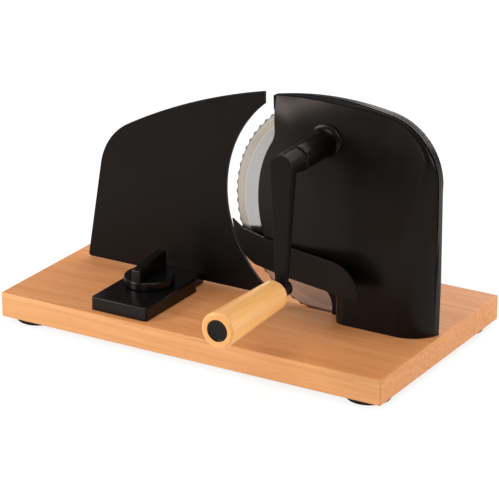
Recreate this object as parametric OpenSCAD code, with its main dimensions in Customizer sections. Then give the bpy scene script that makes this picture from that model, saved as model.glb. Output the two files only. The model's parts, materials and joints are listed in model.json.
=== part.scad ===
// Hand-cranked bread slicer on a wooden board.
// X runs along the board to the right, Y goes away from the crank side, Z is up.
// The origin is on the standing plane, under the middle of the board.

/* [Board and feet] */
// Length of the board along X
board_w = 365; // [350:1:400]
// Depth of the board along Y
board_d = 210; // [200:1:240]
// Thickness of the board
board_t = 22; // [20:1:28]
// Diameter of a rubber foot
foot_d = 38; // [30:1:42]
// Height of a rubber foot
foot_h = 5; // [4:0.5:10]
// Foot centre in from the board's edges
foot_inset = 22.5; // [22:0.5:35]

/* [Blade] */
// Diameter of the blade over its teeth
blade_d = 190; // [184:1:196]
// Thickness of the blade
blade_t = 1.5; // [1.2:0.1:2]
// Number of scalloped teeth
blade_teeth = 72; // [48:4:90]
// Depth of a scallop
tooth_depth = 1.3; // [0.8:0.1:2]
// Width of the ground bevel on the crank side
bevel_w = 11; // [6:0.5:16]
// Thickness left at the cutting edge
edge_t = 0.5; // [0.3:0.1:0.8]
// Middle plane of the blade from the middle of the board
blade_y = 0.5; // [-1:0.5:2]
// How far the teeth dip below the board's top
blade_dip = 5; // [3:0.5:8]
// Room round the blade in the board's slot
slot_room = 1.5; // [1:0.1:3]

/* [Gears] */
// Module of the driving gears
gear_m = 2; // [1.9:0.05:2.1]
// Teeth of the crank gear
crank_teeth = 28; // [26:1:28]
// Teeth of the blade gear
blade_gear_teeth = 36; // [34:1:38]
// Face width of the gears
gear_w = 4.5; // [4:0.5:6]
// Tooth thickness given up for backlash
gear_backlash = 0.25; // [0.15:0.05:0.4]

/* [Housing] */
// Board left free to the right of the housing
housing_margin = 2.5; // [2:0.5:8]
// Wall of the cover
cover_wall = 2.5; // [2:0.1:3]
// Thickness of the back plate behind the gears
back_t = 2.75; // [2.5:0.25:4]
// Rim of the housing outside the blade
blade_rim = 3.1; // [2.8:0.1:5]
// Free room between the blade's edge and the rim
blade_room = 1.3; // [1:0.1:1.6]
// Room in front of the gears, inside the cover
nose_room = 8.6; // [7:0.2:12]
// Radius of the housing's crest
crest_r = 273; // [250:1:320]
// Radius of the housing's upper right corner
corner_r = 55; // [45:1:60]
// Radius of the round nose over the blade
nose_r = 89; // [86:1:92]
// Radius under the cover's nose
chin_r = 54; // [52:1:56]
// Radius of the hollow between nose and top
neck_r = 20; // [12:1:25]
// Left edge of the cover above the nose, left of the blade's axis
cover_tip = 50.5; // [48:0.5:53]
// Left edge of the back plate above the nose, left of the blade's axis
back_tip = 56.5; // [55:0.5:60]
// Left edge of the cover's leg, right of the blade's axis
leg_left = 9; // [6:0.5:12]
// How far the back plate's leg stands out left of the cover's
leg_step = 8.5; // [6:0.5:9.5]
// Radius of the hollow at the top of the cover's leg
leg_fillet = 10; // [6:1:12]
// Radius under the back plate's nose
back_chin_r = 60; // [58:1:62]
// Radius of the hollow at the top of the back plate's leg
back_fillet = 18; // [14:1:20]
// Radius of the roll at the lower right corner
side_roll_r = 30; // [24:1:34]
// Radius of the roll towards the nose
nose_roll_r = 211; // [200:1:240]

/* [Crank] */
// Diameter of the crank shaft
shaft_d = 10; // [9:0.5:11]
// Diameter of the fixed boss that carries the shaft
boss_d = 22; // [21:0.5:26]
// Length of the boss in front of the cover
boss_len = 44; // [40:0.5:55]
// Radius of the flare where the boss meets the cover
boss_flare = 5; // [4:0.5:8]
// Diameter of the crank's hub
hub_d = 20; // [19:0.5:24]
// Length of the hub behind the arm
hub_len = 14.5; // [10:0.5:16]
// Thickness of the arm at the hub
arm_t = 9; // [8:0.5:12]
// Thickness of the arm above the handle
arm_neck_t = 5; // [4:0.5:7]
// Width of the arm above the handle
arm_neck_w = 9.5; // [9:0.5:12]
// Diameter of the arm's boss at the handle
arm_tip_d = 13; // [12:0.5:16]
// Length of that boss
arm_tip_len = 9.5; // [8:0.5:12]
// Crank radius, shaft to handle
crank_r = 104; // [90:1:106]

/* [Handle] */
// Length of the wooden grip
grip_len = 89; // [80:0.5:110]
// Diameter of the grip beside the arm
grip_d_in = 26; // [24:0.5:29]
// Diameter of the grip at its free end
grip_d_out = 30; // [28:0.5:34]
// Rounding of the grip's ends
grip_round = 3; // [1.5:0.5:4]
// Length of the collar between the arm and the grip
collar_len = 7.5; // [4:0.5:9]
// Diameter of the handle's spindle
spindle_d = 8; // [7:0.5:9]
// Diameter of the plug in the grip's free end
plug_d = 18; // [16:0.5:20]
// Length of the plug
plug_len = 6; // [4:0.5:8]

/* [Stop plate] */
// Thickness of the stop plate
plate_t = 3.5; // [3:0.5:5]
// Front face of the plate when parked, behind the middle of the board
plate_front = 1; // [0:0.5:3]
// Gap between the plate and the board
plate_lift = 2; // [1:0.5:3]
// Gap between the plate's arc and the blade
plate_gap = 10.4; // [9:0.2:14]
// Lower left corner of the plate in from the board's end
plate_margin = 18; // [10:1:30]
// Lean of the plate's left edge
plate_lean = 9.5; // [6:0.5:12]
// Radius of the plate's upper left corner
plate_corner_r = 56; // [45:1:65]
// Radius of the plate's crest
plate_crest_r = 521; // [500:1:560]
// Middle of the plate's crest, right of the blade's axis
plate_crest_x = 46; // [40:1:50]
// How far the plate's crest would stand above the housing's
plate_crest_up = 5.6; // [3:0.2:8]
// Right end of the plate, left of the blade's axis
plate_end = 68; // [64:0.5:70]
// Travel of the plate, which sets the slice's thickness
plate_travel = 17; // [12:1:17]

/* [Thickness gauge] */
// Width of the gauge block
block_w = 55; // [54:0.5:60]
// Length of the gauge block
block_len = 80; // [76:1:82]
// Height of the gauge block
block_h = 12; // [11.5:0.5:15]
// Middle of the gauge block from the plate's lower left corner
block_x = 96.5; // [85:0.5:110]
// Rounding of the block's upright edges
block_round = 3; // [1:0.5:5]
// Width of the slide
slide_w = 44; // [40:0.5:44]
// Height of the slide
slide_h = 8.5; // [8:0.5:8.5]
// Middle of the knob behind the block's front face
knob_back = 50; // [48:1:55]
// Middle of the knob left of the block's middle
knob_left = 1.5; // [0:0.5:3]
// Diameter of the knob's disc
knob_d = 43; // [38:1:46]
// Height of the knob's disc
knob_h = 7; // [5:0.5:9]
// Width of the knob's bar
bar_w = 8.7; // [7:0.1:11]
// Length of the knob's bar
bar_len = 42; // [36:1:42]
// Height of the bar at its front
bar_h_front = 11; // [9:0.5:13]
// Height of the bar at its back
bar_h_back = 16; // [13:0.5:18]
// Diameter of the knob's stem in the block
stem_d = 9; // [8.5:0.5:9.5]
// Diameter of the knob's stem in the pinion
stem_neck_d = 7; // [6:0.5:7.5]
// Module of the rack and its pinion
rack_m = 1; // [0.95:0.05:1]
// Teeth of the pinion
pinion_teeth = 14; // [14:1:16]

/* [Slice deflector] */
// Thickness of the deflector
deflector_t = 2.2; // [1.6:0.1:2.6]
// Height of the deflector
deflector_h = 27.2; // [24:0.2:32]
// Lower edge of the deflector above the board
deflector_up = 32.7; // [28:0.1:36]
// Right tip of the deflector, right of the blade's axis
deflector_tip = 45.5; // [38:0.5:50]
// Slant of its straight part, seen from above
deflector_slant = 13; // [11:0.5:15]
// Further slant of its left part, seen from above
deflector_kink = 5; // [3:0.5:6]
// Radius of its left part, seen from above
deflector_r = 600; // [500:10:700]
// Start of the round at its lower left corner, left of the blade's axis
deflector_round = 66; // [64:1:70]
// Gap between the deflector's left end and the plate's arc
deflector_room = 2.4; // [1.5:0.1:4]
// How far its left tip rises above the upper edge
deflector_rise = 5.5; // [0:0.5:7]

/* [Hidden] */
$fn = 96;

// Clearances: a running fit, a pressed fit and the play between sliding faces
run = 0.05;
snug = 0.02;
play = 0.3;
// Room on each side of a thrust washer
washer_room = 0.2;
// Overlap that joins two solids of one piece
weld = 0.01;
// A little more than enough for a cut to break through
over = 1;
// Length of an arc's straight steps
arc_step = 4;
// Longer than anything here, for half spaces
far = 900;

// Heights
board_top = foot_h + board_t;
blade_r = blade_d / 2;
blade_z = board_top - blade_dip + blade_r;
gear_distance = gear_m * (crank_teeth + blade_gear_teeth) / 2;
crank_z = blade_z + gear_distance;
crank_gear_ra = gear_m * (crank_teeth / 2 + 1);
gear_room = 0.6;
housing_top = max(blade_z + blade_r + blade_rim, crank_z + crank_gear_ra + gear_room + cover_wall);

// Places along X
housing_right = board_w / 2 - housing_margin;
blade_x = housing_right - blade_rim - blade_r;
plate_left = -board_w / 2 + plate_margin;
gauge_x = plate_left + block_x;
knob_x = gauge_x - knob_left;

// Places along Y, from the blade towards the crank
blade_back = blade_y + blade_t / 2;
blade_front = blade_y - blade_t / 2;
bevel_slope = (blade_t - edge_t) / bevel_w;
flange_t = 1.2;
recess_floor = blade_front - flange_t - play;
seam = recess_floor - back_t;
gear_back = seam - gear_room;
gear_front = gear_back - gear_w;
cover_front = gear_front - nose_room - cover_wall;
boss_end = cover_front - boss_len;
washer_t = 0.6;
hub_back = boss_end - washer_t - 2 * washer_room;
arm_back = hub_back - hub_len;
arm_front = arm_back - arm_t;
grip_back = arm_front - collar_len - play;
grip_front = grip_back - grip_len;
plug_bore = 15;
grip_bore_floor = grip_front + plug_bore;
plate_back = plate_front + plate_t;
block_gap = 2;
block_back = plate_front - plate_travel - block_gap;
block_front = block_back - block_len;
knob_y = block_front + knob_back;

// The housing's outline: crest, corner, nose, chin and the hollows between them
crest_x = blade_x + 3.8;
crest_z = housing_top - crest_r;
corner_x = housing_right - corner_r;
corner_z = crest_z + sqrt(pow(crest_r - corner_r, 2) - pow(corner_x - crest_x, 2));
nose_x = blade_x + 20.8;
nose_z = blade_z + 3.9;
chin_turn = 20;

// Rolls of the cover's front: where they start, and the radius that clears the crank gear
crest_roll_up = 13;
crest_roll_z = blade_z + crest_roll_up;
crest_roll_tilt = 16.4;
crest_roll_run = crank_z + crank_gear_ra + gear_room - crest_roll_z;
crest_roll_drop = nose_room - gear_room;
crest_roll_r = (pow(crest_roll_run, 2) + pow(crest_roll_drop, 2)) / (2 * crest_roll_drop);
side_roll_x = housing_right - 2.7;
side_roll_tilt = 4.6;
// Where the boss's flare starts: just inside the face, which has rolled back a little there
flare_sink = 1;
flare_roll = crest_roll_r - sqrt(pow(crest_roll_r, 2) - pow(gear_distance - crest_roll_up, 2));
flare_y = -cover_front - flare_roll - flare_sink;

// Fasteners
cover_screw_d = 4;
cover_post_d = 10;
cover_screw_len = 9.5;
housing_screw_d = 5;
housing_boss_d = 11;
housing_boss_h = 24;
deflector_screw_d = 3;
plate_screw_d = 3;
plate_screw_len = 13.5;
gauge_screw_d = 2.5;
foot_screw_d = 4;
foot_screw_len = 14;
head_h = 3;
low_head_h = 2;
// Solid left past the end of a blind screw hole, and the hole's free end past the screw
screw_floor = 2;
screw_free = 2;
blade_screw_d = 6;
blade_screw_head_d = 26;
blade_screw_top_d = 22;
blade_screw_head_h = 1.8;
coin_slot_w = 1.8;
coin_slot_h = 1.1;
bush_wall = 2;
crank_bush_len = 12;
hub_screw_d = 5;
hub_cap = 2.3;
blade_journal_d = 12;
blade_flange_d = 40;
blade_bore_d = 16;
handle_screw_d = 4;
handle_screw_len = 12;
handle_head_d = 14;
knob_screw_d = 4;
knob_screw_len = 10;
knob_screw_head_d = 9.5;

// Posts that take the cover's screws, from the blade's axis
cover_posts = [[-38, 80], [52, 72], [80, 8], [-52, -2], [66, -58]];
// Screws that hold the housing to the board, along X from the leg's left edge
housing_screw_x = [14, 46, 72];
housing_screw_in = 7;
housing_screw_y = seam - housing_screw_in;
// Feet: taper of their sides and the rubber left above a screw's head
foot_taper = 1;
foot_floor = 1.5;

// Slice deflector: its lower edge, where it bends and where its left tip starts to rise
deflector_z = board_top + deflector_up;
deflector_bend = 37;
deflector_y = cover_front - 1;
deflector_rise_from = 86;
// Its bosses, along X from the blade's axis
deflector_bosses = [5, 22];
deflector_boss_d = 10;
deflector_boss_up = 9;
deflector_screw_in = 5.5;

// Screws of the gauge block, in from its ends, and of the plate, apart and up from the slide
block_screw_in = 5;
plate_screw_apart = 28;
plate_screw_up = 5.7;

// Rack and pinion
pinion_r = rack_m * pinion_teeth / 2;
pinion_ra = pinion_r + rack_m;
rack_backlash = 0.2;
slot_end = pinion_ra + 1;
slide_z = board_top + play;
slide_top = slide_z + slide_h;
block_top = board_top + block_h;
knob_washer_d = 29;
knob_washer_t = 0.4;
knob_washer_room = 0.1;
knob_z = block_top + knob_washer_t + 2 * knob_washer_room;
knob_screw_head_h = 1.3;
pinion_z = slide_z + knob_screw_head_h + knob_washer_room;
// The slide stops short of the channel's front end at full travel
block_end = 10;
stop_room = 0.5;
slide_front = block_front + block_end + stop_room + plate_travel;
// Easing of the bar's ends
bar_ease = 2;

// Colours
wood = "#d8a163";
black = "#1d1d1e";
gloss_black = "#161617";
steel = "#c9ccd0";
bronze = "#a8864f";
nylon = "#e8e4d8";
rubber = "#121212";

// Helpers
// Extrudes an outline drawn in X and Z from y0 to the larger y1
module along_y(y0, y1) translate([0, y1, 0]) rotate([90, 0, 0]) linear_extrude(y1 - y0) children();

// A round bar along Y
module rod_y(d, y0, y1) along_y(y0, y1) circle(d = d);

// A solid turned about the Y axis, its outline drawn with radius as x and depth towards -Y as y
module turned_y() rotate([90, 0, 0]) rotate_extrude() children();

module at_blade() translate([blade_x, 0, blade_z]) children();
module at_crank() translate([blade_x, 0, crank_z]) children();
module at_handle() at_crank() translate([0, 0, -crank_r]) children();
module at_knob() translate([knob_x, knob_y, 0]) children();
module at_feet() for (sx = [-1, 1], sy = [-1, 1])
    translate([sx * (board_w / 2 - foot_inset), sy * (board_d / 2 - foot_inset), 0]) children();
module at_cover_posts() for (p = cover_posts) at_blade() translate([p[0], 0, p[1]]) children();
module at_housing_screws() for (dx = housing_screw_x)
    translate([blade_x + leg_left + dx, housing_screw_y, 0]) children();
module at_block_screws() for (sx = [-1, 1], dy = [block_screw_in, block_len - block_screw_in])
    translate([gauge_x + sx * (block_w + slide_w) / 4, block_front + dy, 0]) children();
module at_plate_screws() for (sx = [-1, 1])
    translate([gauge_x + sx * plate_screw_apart / 2, 0, slide_z + plate_screw_up]) children();
module at_deflector_screws() for (dx = deflector_bosses)
    translate([blade_x + dx, 0, deflector_z + deflector_boss_up]) children();

// A pan-head screw standing on its head, its shank up along Z
module screw_up(d, len) {
    cylinder(d = 2 * d, h = head_h);
    translate([0, 0, head_h - weld]) cylinder(d = d, h = len + weld);
}

// Its hole: shank and head with clearance
module screw_up_hole(d, len) {
    translate([0, 0, -far / 2]) cylinder(d = 2 * d + 1, h = far / 2 + head_h);
    cylinder(d = d + 2 * snug, h = head_h + len + play);
}

// A countersunk screw along -Y, its head flush at y = 0
module screw_y(d, len, gap = 0) turned_y() polygon([
    [0, -gap * over], [d + gap, -gap * over], [d + gap, gap],
    [d / 2 + gap, d / 2 + gap], [d / 2 + gap, len + gap], [0, len + gap]
]);

// Involute gear outline with one tooth towards +X
pressure = 20;
dedendum = 1.25;
function involute(a) = tan(a) * 180 / PI - a;
function flank(r, rb, half) = half - (r > rb ? involute(acos(rb / r)) : 0);
module gear_outline(m, teeth, backlash) {
    rp = m * teeth / 2;
    rb = rp * cos(pressure);
    ra = rp + m;
    rf = rp - dedendum * m;
    half = 90 / teeth + involute(pressure) - backlash / 2 / rp * 180 / PI;
    steps = 5;
    radii = [for (i = [0 : steps]) max(rf, rb) + (ra - max(rf, rb)) * i / steps];
    side = concat([[rf, half]], [for (r = radii) if (r > rf) [r, flank(r, rb, half)]]);
    count = len(side);
    polygon([for (t = [0 : teeth - 1]) each concat(
        [for (i = [0 : count - 1]) let (a = t * 360 / teeth - side[i][1]) side[i][0] * [cos(a), sin(a)]],
        [for (i = [count - 1 : -1 : 0]) let (a = t * 360 / teeth + side[i][1]) side[i][0] * [cos(a), sin(a)]]
    )]);
}

// The blade's scalloped rim: hollows between points, as many as there are teeth
module scallops() {
    steps = 6;
    polygon([for (i = [0 : blade_teeth * steps - 1])
        let (a = i * 360 / blade_teeth / steps, r = blade_r - tooth_depth * sin(180 * (i % steps) / steps))
        r * [cos(a), sin(a)]]);
}

// Points of an arc about c, from angle a to angle b, a step at a time
function arc(c, r, a, b) = let (n = max(6, ceil(abs(b - a) * PI / 180 * r / arc_step)))
    [for (i = [0 : n]) let (t = a + (b - a) * i / n) c + r * [cos(t), sin(t)]];

// Angle from c towards p
function angle(c, p) = atan2(p[1] - c[1], p[0] - c[0]);

// Housing outline, drawn in X and Z and drawn in all round by g: up the leg with a hollow of radius fillet,
// round the chin of radius under and the nose, up to the crest, over it and down the right side
module housing_outline(tip, leg, under, fillet, g = 0) {
    left = blade_x - tip + g;
    foot = blade_x + leg + g;
    right = housing_right - g;
    nose = [nose_x, nose_z];
    chin = nose - (nose_r - under) * [cos(chin_turn), sin(chin_turn)];
    crest = [crest_x, crest_z];
    corner = [corner_x, corner_z];
    neck_x = left - neck_r - g;
    neck = [neck_x, nose_z + sqrt(pow(nose_r + neck_r, 2) - pow(nose_x - neck_x, 2))];
    hollow_x = foot - fillet - g;
    hollow = [hollow_x, chin[1] - sqrt(pow(under + fillet, 2) - pow(hollow_x - chin[0], 2))];
    tip_turn = acos((left - crest_x) / (crest_r - g));
    polygon(concat(
        [[foot, board_top + g]],
        arc(hollow, fillet + g, 0, angle(hollow, chin)),
        arc(chin, under - g, angle(chin, hollow), chin_turn - 180),
        arc(nose, nose_r - g, 180 + chin_turn, angle(nose, neck)),
        arc(neck, neck_r + g, angle(neck, nose), 0),
        arc(crest, crest_r - g, tip_turn, angle(crest, corner)),
        arc(corner, corner_r - g, angle(crest, corner), 0),
        [[right, board_top + g]]));
}

// Half space behind a front face at depth y that rolls back to the left of x = 0, drawn in X and Y
module rolled_half(r, y) {
    translate([0, y]) square([far, far]);
    translate([0, y + r]) circle(r = r, $fn = 360);
    translate([-r, y + r]) square([far, far]);
}

// What lies behind the roll at the lower right, drawn in by g
module side_roll(g = 0) translate([side_roll_x, 0, board_top]) rotate([0, side_roll_tilt, 0])
    translate([-side_roll_r, 0, -far / 2]) linear_extrude(far)
    mirror([1, 0]) rolled_half(side_roll_r - g, cover_front + g);

// The cover as a solid as far back as y: outline and rolled front, drawn in all round by g
module cover_form(y = seam, g = 0) intersection() {
    along_y(cover_front, y) housing_outline(cover_tip, leg_left, chin_r, leg_fillet, g);
    translate([blade_x, 0, crest_roll_z]) rotate([0, crest_roll_tilt - 90, 0]) translate([0, 0, -far / 2])
        linear_extrude(far) mirror([1, 0]) rolled_half(crest_roll_r - g, cover_front + g);
    translate([blade_x, 0, 0]) linear_extrude(far) rolled_half(nose_roll_r - g, cover_front + g);
    side_roll(g);
}

// Board and feet
module base_board() color(wood) difference() {
    translate([-board_w / 2, -board_d / 2, foot_h]) cube([board_w, board_d, board_t]);
    blade_slot();
    at_feet() translate([0, 0, foot_h - over])
        cylinder(d = foot_screw_d + 2 * snug, h = foot_screw_len + over);
    at_housing_screws() translate([0, 0, foot_h]) screw_up_hole(housing_screw_d, board_t + housing_boss_h);
    at_block_screws() translate([0, 0, foot_h]) screw_up_hole(gauge_screw_d, board_t + block_h);
}

// Slot that the blade dips into
module blade_slot() at_blade()
    rod_y(blade_d + 2 * slot_room, blade_front - slot_room, blade_back + slot_room);

module rubber_feet() color(rubber) at_feet() difference() {
    cylinder(d1 = foot_d, d2 = foot_d - 2 * foot_taper, h = foot_h);
    translate([0, 0, -over]) cylinder(d = 2 * foot_screw_d + 2 * play, h = foot_h - foot_floor + over);
    cylinder(d = foot_screw_d + 2 * snug, h = foot_h + over);
}

module foot_screws() color(steel) at_feet() {
    translate([0, 0, foot_h - foot_floor - low_head_h]) cylinder(d = 2 * foot_screw_d, h = low_head_h);
    translate([0, 0, foot_h - foot_floor - weld]) cylinder(d = foot_screw_d, h = foot_screw_len);
}

// Housing
module housing_cover() color(black) difference() {
    union() {
        difference() {
            cover_form();
            cover_form(seam + over, cover_wall);
        }
        intersection() {
            cover_form(seam, cover_wall / 2);
            union() {
                at_cover_posts() rod_y(cover_post_d, cover_front, seam);
                at_blade() rod_y(blade_journal_d + 4 * bush_wall, cover_front, gear_front - gear_room);
                at_crank() rod_y(boss_d, cover_front, gear_front - gear_room);
                at_housing_screws() translate([0, 0, board_top])
                    cylinder(d = housing_boss_d, h = housing_boss_h);
            }
        }
        at_crank() crank_boss();
    }
    at_cover_posts() translate([0, recess_floor, 0]) screw_y(cover_screw_d, cover_screw_len, snug);
    at_blade() rod_y(blade_journal_d + 2 * bush_wall + 2 * snug, cover_front + cover_wall, gear_front);
    at_crank() rod_y(shaft_d + 2 * bush_wall + 2 * snug, boss_end - over, gear_front);
    at_housing_screws() translate([0, 0, foot_h])
        cylinder(d = housing_screw_d + 2 * snug, h = board_t + housing_boss_h - screw_floor);
    at_deflector_screws()
        rod_y(deflector_screw_d + 2 * snug, cover_front - over, cover_front + cover_wall + over);
}

// The boss in front of the cover, flared where it meets the face
module crank_boss() turned_y() {
    translate([0, -gear_front + gear_room]) square([boss_d / 2, gear_front - gear_room - boss_end]);
    difference() {
        translate([0, flare_y]) square([boss_d / 2 + boss_flare, boss_flare]);
        translate([boss_d / 2 + boss_flare, flare_y + boss_flare]) circle(r = boss_flare);
    }
}

module housing_back() color(black) difference() {
    intersection() {
        along_y(seam, blade_back) housing_outline(back_tip, leg_left - leg_step, back_chin_r, back_fillet);
        side_roll();
    }
    at_blade() rod_y(blade_d + 2 * blade_room, recess_floor, blade_back + over);
    at_blade() rod_y(blade_journal_d + 2 * bush_wall + 2 * snug, seam - over, recess_floor + over);
    at_cover_posts() translate([0, recess_floor, 0]) screw_y(cover_screw_d, cover_screw_len, snug);
}

module cover_screws() color(steel) at_cover_posts() translate([0, recess_floor, 0])
    screw_y(cover_screw_d, cover_screw_len);

module housing_screws() color(steel) at_housing_screws() translate([0, 0, foot_h])
    screw_up(housing_screw_d, board_t + housing_boss_h - head_h - screw_floor - screw_free);

// Bushes
module bush(d, y0, y1) difference() {
    rod_y(d + 2 * bush_wall, y0, y1);
    rod_y(d + 2 * run, y0 - over, y1 + over);
}

module crank_front_bush() color(bronze) at_crank() bush(shaft_d, boss_end, boss_end + crank_bush_len);
module crank_rear_bush() color(bronze) at_crank()
    bush(shaft_d, gear_front - gear_room - crank_bush_len, gear_front - gear_room);
module blade_front_bush() color(bronze) at_blade()
    bush(blade_journal_d, cover_front + cover_wall + play, gear_front - gear_room);
module blade_rear_bush() color(bronze) at_blade() bush(blade_journal_d, seam, recess_floor);

// Slice deflector
// Its path from above, a strip of thickness t: straight to the right, bent and on along an arc to the left
module deflector_path(t) translate([blade_x - deflector_bend, deflector_y]) rotate(-deflector_slant) {
    translate([0, -t / 2]) square([far, t]);
    circle(d = t);
    rotate(-deflector_kink) intersection() {
        translate([0, deflector_r]) difference() {
            circle(r = deflector_r + t / 2, $fn = 360);
            circle(r = deflector_r - t / 2, $fn = 360);
        }
        translate([-deflector_r / 2, -deflector_r / 2]) square([deflector_r / 2, deflector_r]);
    }
}

// Its face from the crank side: round at the right, cut along the plate's arc at the left, with a round
// between that cut and the lower edge
module deflector_face() {
    reach = blade_r + plate_gap - deflector_room;
    tip = blade_x + deflector_tip;
    rise = blade_z - deflector_z;
    turn_r = (pow(reach, 2) - pow(deflector_round, 2) - pow(rise, 2)) / 2 / (reach - rise);
    start = [blade_x - deflector_round, deflector_z];
    turn = start + [0, turn_r];
    way = turn - [blade_x, blade_z];
    difference() {
        intersection() {
            translate([blade_x, blade_z]) circle(r = reach);
            translate([0, deflector_z]) union() {
                translate([-far, 0]) square([far + tip - deflector_h, deflector_h]);
                intersection() {
                    translate([tip - deflector_h, 0]) circle(r = deflector_h);
                    translate([tip - deflector_h - over, 0]) square(deflector_h + 2 * over);
                }
                polygon([[blade_x - deflector_rise_from, 0], [blade_x - deflector_rise_from, deflector_h],
                    [blade_x - reach, deflector_h + deflector_rise], [blade_x - reach, 0]]);
            }
        }
        difference() {
            polygon([turn, start - [0, over], start - [2 * turn_r, over],
                turn + (turn_r + 4 * over) * way / norm(way)]);
            translate(turn) circle(r = turn_r);
        }
    }
}

module slice_deflector() color(black) difference() {
    union() {
        intersection() {
            along_y(-far / 2, far / 2) deflector_face();
            linear_extrude(far) deflector_path(deflector_t);
        }
        intersection() {
            at_deflector_screws() rod_y(deflector_boss_d, cover_front - far / 4, cover_front);
            linear_extrude(far) behind_deflector();
        }
    }
    at_deflector_screws()
        rod_y(deflector_screw_d + 2 * snug, cover_front - deflector_screw_in - play, cover_front + over);
}

// Everything behind the straight part of the deflector
module behind_deflector() translate([blade_x - deflector_bend, deflector_y]) rotate(-deflector_slant)
    translate([0, -deflector_t / 2]) square([far, far]);

module deflector_screws() color(steel) at_deflector_screws() {
    rod_y(deflector_screw_d, cover_front - deflector_screw_in, cover_front + cover_wall + weld);
    rod_y(2 * deflector_screw_d, cover_front + cover_wall, cover_front + cover_wall + low_head_h);
}

// Thickness gauge, fixed part
module rounded_plan(w, d, r) translate([r - w / 2, r]) {
    square([w - 2 * r, d - 2 * r]);
    for (x = [0, w - 2 * r], y = [0, d - 2 * r]) translate([x, y]) circle(r = r);
    translate([-r, 0]) square([w, d - 2 * r]);
    translate([0, -r]) square([w - 2 * r, d]);
}

module gauge_block() color(gloss_black) difference() {
    translate([gauge_x, block_front, board_top]) linear_extrude(block_h)
        rounded_plan(block_w, block_len, block_round);
    translate([gauge_x - slide_w / 2 - play, block_front + block_end, board_top - over])
        cube([slide_w + 2 * play, far, slide_h + 2 * play + over]);
    at_knob() cylinder(d = stem_d + 2 * run, h = far);
    at_block_screws() translate([0, 0, foot_h])
        cylinder(d = gauge_screw_d + 2 * snug, h = board_t + block_h - screw_floor);
}

module gauge_screws() color(steel) at_block_screws() translate([0, 0, foot_h])
    screw_up(gauge_screw_d, board_t + block_h - head_h - screw_floor - screw_free);

// Crank
module crank_shaft() color(steel) at_crank() rod_y(shaft_d, arm_front + hub_cap + washer_room, gear_back);

module crank_gear() color(nylon) at_crank() difference() {
    along_y(gear_front, gear_back) rotate(180 / crank_teeth - 90)
        gear_outline(gear_m, crank_teeth, gear_backlash);
    rod_y(shaft_d + 2 * snug, gear_front - over, gear_back + over);
}

module crank_washer() color(steel) at_crank() difference() {
    rod_y(hub_d - 1, boss_end - washer_room - washer_t, boss_end - washer_room);
    rod_y(shaft_d + 2 * snug, boss_end - over - washer_t, boss_end + over);
}

// Arm outline from the front: straight flanks from the hub's round to the narrow end at the handle
module arm_outline() {
    r1 = hub_d / 2;
    r2 = arm_neck_w / 2;
    a = asin((r1 - r2) / crank_r);
    circle(r = r1);
    polygon([r1 * [cos(a), -sin(a)], r2 * [cos(a), -sin(a)] - [0, crank_r],
        r2 * [-cos(a), -sin(a)] - [0, crank_r], r1 * [-cos(a), -sin(a)]]);
}

// Arm from the side, drawn in Y and Z: flat in front, its back leaning in towards the handle
module arm_side() polygon([
    [arm_front, hub_d], [arm_back, hub_d], [arm_back, -hub_d / 2],
    [arm_front + arm_neck_t, -crank_r], [arm_front, -crank_r]
]);

module crank_arm() color(black) at_crank() difference() {
    union() {
        rod_y(hub_d, arm_back - weld, hub_back);
        intersection() {
            along_y(arm_front, arm_back) arm_outline();
            translate([-hub_d, 0, 0]) rotate([90, 0, 90]) linear_extrude(2 * hub_d) arm_side();
        }
        translate([0, 0, -crank_r]) rod_y(arm_tip_d, arm_front, arm_front + arm_tip_len);
    }
    rod_y(shaft_d + 2 * snug, arm_front + hub_cap, hub_back + over);
    translate([0, 0, -crank_r]) rod_y(spindle_d + 2 * snug, arm_front - over, arm_front + arm_tip_len + over);
    at_hub_screw() cylinder(d = hub_screw_d + 2 * snug, h = hub_d);
}

module at_hub_screw() translate([0, (hub_back + arm_back) / 2, 0]) rotate([0, -90, 0]) children();

module hub_screw() color(steel) at_crank() at_hub_screw() translate([0, 0, shaft_d / 2 + run])
    cylinder(d = hub_screw_d, h = (hub_d - shaft_d) / 2 - 2 * play);

// Handle
module handle_spindle() color(steel) at_handle() difference() {
    union() {
        rod_y(spindle_d, grip_bore_floor - washer_room, arm_front + arm_tip_len - washer_room);
        rod_y(arm_tip_d, arm_front - collar_len, arm_front);
    }
    rod_y(handle_screw_d + 2 * snug, grip_bore_floor - over, grip_bore_floor + handle_screw_len + screw_free);
}

module handle_screw() color(steel) at_handle() {
    rod_y(handle_screw_d, grip_bore_floor - washer_room - weld, grip_bore_floor + handle_screw_len);
    rod_y(handle_head_d, grip_bore_floor - washer_room - head_h, grip_bore_floor - washer_room);
}

// Grip outline, radius as x and depth as y, with rounded ends
module grip_outline() {
    r = grip_round;
    a = atan((grip_d_out - grip_d_in) / 2 / grip_len);
    polygon(concat([[0, 0]],
        arc([grip_d_in / 2 - r, r], r, -90, -a),
        arc([grip_d_out / 2 - r, grip_len - r], r, -a, 90),
        [[0, grip_len]]));
}

module handle_grip() color(wood) at_handle() difference() {
    translate([0, grip_back, 0]) turned_y() grip_outline();
    rod_y(spindle_d + 2 * run, grip_front - over, grip_back + over);
    rod_y(plug_d + 2 * snug, grip_front - over, grip_bore_floor);
}

module grip_plug() color(gloss_black) at_handle() rod_y(plug_d, grip_front, grip_front + plug_len);

// Blade
module blade() color(steel) at_blade() difference() {
    intersection() {
        along_y(blade_front, blade_back) scallops();
        translate([0, blade_back, 0]) turned_y() polygon([[0, 0], [blade_r + over, 0],
            [blade_r + over, edge_t - over * bevel_slope], [blade_r - bevel_w, blade_t], [0, blade_t]]);
    }
    rod_y(blade_bore_d + 2 * snug, blade_front - over, blade_back + over);
}

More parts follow.
